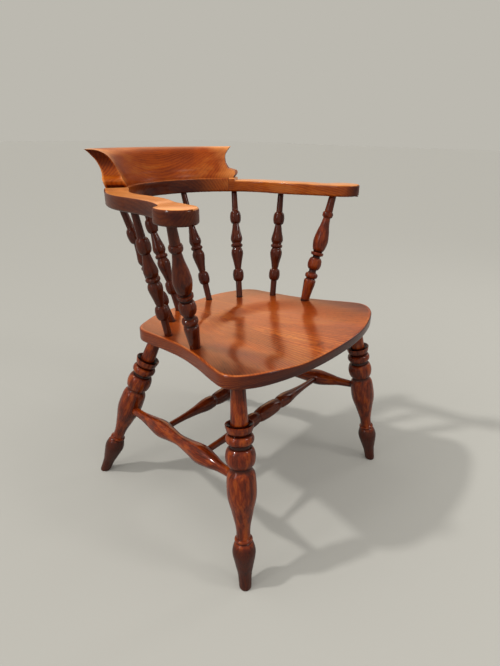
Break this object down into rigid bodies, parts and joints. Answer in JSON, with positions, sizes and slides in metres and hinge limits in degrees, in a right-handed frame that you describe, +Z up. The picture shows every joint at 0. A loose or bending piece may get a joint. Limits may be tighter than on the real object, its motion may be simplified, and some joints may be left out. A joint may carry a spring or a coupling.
{
  "type": "captains chair",
  "caption": "Smoker's bow captain's armchair in varnished hardwood: saddled seat, turned spindles and posts under a sawn arm bow, rolled-back crest, splayed turned legs.",
  "frame": {"origin": "on the floor under the middle of the chair's bounding box", "axes": "+Z up, the sitter faces -Y, +X towards the sitter's left"},
  "size_m": [0.604, 0.5962, 0.7968],
  "materials": {
    "seat_wood": "satin varnish over orange-brown wood",
    "bow_wood": "satin varnish over red-brown wood",
    "crest_wood": "satin varnish over orange-brown wood",
    "turned_wood": "gloss varnish over dark red-brown wood",
    "dowel_wood": "bare wood",
    "screw_steel": "plain steel"
  },
  "bodies": {
    "root": {"seat": "seat_wood", "crest": "crest_wood", "back_rail": "bow_wood", "arm_left": "bow_wood", "arm_right": "bow_wood", "leg_front_left": "turned_wood", "leg_front_right": "turned_wood", "leg_back_left": "turned_wood", "leg_back_right": "turned_wood", "side_stretcher_left": "turned_wood", "side_stretcher_right": "turned_wood", "cross_stretcher_front": "turned_wood", "cross_stretcher_back": "turned_wood", "arm_post_left": "turned_wood", "arm_post_right": "turned_wood", "spindle_left_1": "turned_wood", "spindle_left_2": "turned_wood", "spindle_left_3": "turned_wood", "spindle_right_1": "turned_wood", "spindle_right_2": "turned_wood", "spindle_right_3": "turned_wood", "dowel_left_1": "dowel_wood", "dowel_left_2": "dowel_wood", "dowel_right_1": "dowel_wood", "dowel_right_2": "dowel_wood", "crest_screw_1": "screw_steel", "crest_screw_2": "screw_steel", "crest_screw_3": "screw_steel", "crest_screw_4": "screw_steel"}
  },
  "joints": []
}
